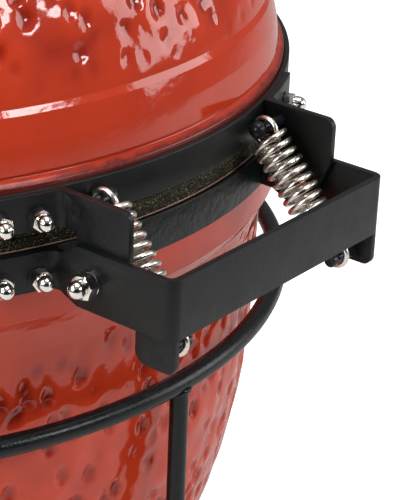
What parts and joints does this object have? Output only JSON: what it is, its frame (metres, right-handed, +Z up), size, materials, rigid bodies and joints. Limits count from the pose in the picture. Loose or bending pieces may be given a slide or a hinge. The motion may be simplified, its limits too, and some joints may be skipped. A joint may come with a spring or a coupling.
{
  "type": "kamado ceramic grill",
  "caption": "Egg-shaped ceramic charcoal grill with a dome on a spring-balanced rear hinge, steel bands, vents, grates and a round-bar stand.",
  "frame": {"origin": "on the floor, on the grill's vertical axis", "axes": "+Z up, +Y to the hinge at the back, -Y to the handle and the draft door, +X to the user's right"},
  "size_m": [0.5461, 0.6614, 0.7026],
  "materials": {
    "glaze": "gloss",
    "fire_clay": "matte",
    "black_steel": "satin",
    "bright_steel": "polished",
    "spring_wire": "polished",
    "felt": "matte",
    "cast_vent": "satin",
    "brushed_sheet": "satin",
    "cast_grate": "matte",
    "bamboo": "satin",
    "dial_white": "satin",
    "needle_black": "satin",
    "dial_glass": "gloss",
    "rubber": "matte"
  },
  "bodies": {
    "base": {"base_shell": "glaze", "base_felt": "felt", "lower_band": "black_steel", "lower_clamp_bolt": "bright_steel", "lower_clamp_nut": "bright_steel", "lower_hinge_bracket": "black_steel", "spring_tab_left": "black_steel", "spring_tab_right": "black_steel", "pivot_bolt_left": "bright_steel", "pivot_bolt_right": "bright_steel", "pivot_washers": "bright_steel", "pivot_nuts": "bright_steel", "lower_spring_pin_left": "black_steel", "lower_spring_pin_right": "black_steel", "lower_band_studs": "bright_steel", "lower_band_nuts": "bright_steel", "draft_frame": "brushed_sheet", "draft_screws": "bright_steel", "ember_screen": "brushed_sheet", "firebox": "fire_clay", "fire_ring": "fire_clay", "charcoal_grate": "cast_grate", "stand_ring": "black_steel", "stand_hub": "black_steel", "stand_leg_rear": "black_steel", "stand_leg_left": "black_steel", "stand_leg_right": "black_steel", "stand_feet": "rubber"},
    "lid": {"dome_shell": "glaze", "dome_felt": "felt", "upper_band": "black_steel", "upper_clamp_bolt": "bright_steel", "upper_clamp_nut": "bright_steel", "upper_hinge_bracket_left": "black_steel", "upper_hinge_bracket_right": "black_steel", "upper_spring_pin_left": "black_steel", "upper_spring_pin_right": "black_steel", "upper_band_studs": "bright_steel", "upper_band_nuts": "bright_steel", "handle_bar": "bamboo", "handle_bracket_left": "black_steel", "handle_bracket_right": "black_steel", "handle_screws": "bright_steel", "vent_base": "cast_vent", "vent_pivot_screw": "bright_steel", "dial_case": "brushed_sheet", "dial_face": "dial_white", "dial_glass": "dial_glass", "dial_nut": "bright_steel"},
    "spring_left_coil": {"spring_left": "spring_wire"},
    "spring_left_end": {"spring_hook_left": "spring_wire"},
    "spring_right_coil": {"spring_right": "spring_wire"},
    "spring_right_end": {"spring_hook_right": "spring_wire"},
    "vent_swing": {"vent_cap": "cast_vent"},
    "daisy": {"daisy_wheel": "cast_vent", "daisy_knob": "cast_vent"},
    "needle": {"dial_needle": "needle_black"},
    "door": {"draft_door": "brushed_sheet", "draft_knob": "cast_vent"},
    "grate": {"cooking_grate": "brushed_sheet"}
  },
  "joints": [
    {"name": "lid_hinge", "type": "hinge", "parent": "base", "child": "lid", "pos_m": [0, 0.2802, 0.38365], "axis": [-1, 0, 0], "range_deg": [0, 65]},
    {"name": "spring_left_swing", "type": "hinge", "parent": "base", "child": "spring_left_coil", "pos_m": [-0.0675, 0.318, 0.35545], "axis": [-1, 0, 0], "range_deg": [0, 25.59]},
    {"name": "spring_left_stretch", "type": "slide", "parent": "spring_left_coil", "child": "spring_left_end", "axis": [0, 0.6481, -0.7616], "range_m": [0, 0.02335], "deforming": ["spring_left", "spring_hook_left"]},
    {"name": "spring_right_swing", "type": "hinge", "parent": "base", "child": "spring_right_coil", "pos_m": [0.0675, 0.318, 0.35545], "axis": [-1, 0, 0], "range_deg": [0, 25.59]},
    {"name": "spring_right_stretch", "type": "slide", "parent": "spring_right_coil", "child": "spring_right_end", "axis": [0, 0.6481, -0.7616], "range_m": [0, 0.02335], "deforming": ["spring_right", "spring_hook_right"]},
    {"name": "vent_cap_swing", "type": "hinge", "parent": "lid", "child": "vent_swing", "pos_m": [0.06805, 0, 0.6683], "axis": [0, 0, 1], "range_deg": [0, 100]},
    {"name": "daisy_turn", "type": "hinge", "parent": "vent_swing", "child": "daisy", "pos_m": [0, 0, 0.6683], "axis": [0, 0, 1], "range_deg": [0, 36]},
    {"name": "needle_turn", "type": "hinge", "parent": "lid", "child": "needle", "pos_m": [0, -0.23122, 0.51945], "axis": [0, 0.8794, -0.4762], "range_deg": [0, 250], "stiffness_Nm_per_rad": 0.002},
    {"name": "draft_slide", "type": "slide", "parent": "base", "child": "door", "axis": [1, 0, 0], "range_m": [0, 0.1]},
    {"name": "grate_lift", "type": "slide", "parent": "base", "child": "grate", "axis": [0, 0, 1], "range_m": [0, 0.03]}
  ],
  "couplings": [
    {"joint": "spring_left_swing", "follows": "lid_hinge", "ratio": 0.39287},
    {"joint": "spring_left_stretch", "follows": "lid_hinge", "m_per_rad": 0.020541},
    {"joint": "spring_right_swing", "follows": "lid_hinge", "ratio": 0.39287},
    {"joint": "spring_right_stretch", "follows": "lid_hinge", "m_per_rad": 0.020541}
  ]
}
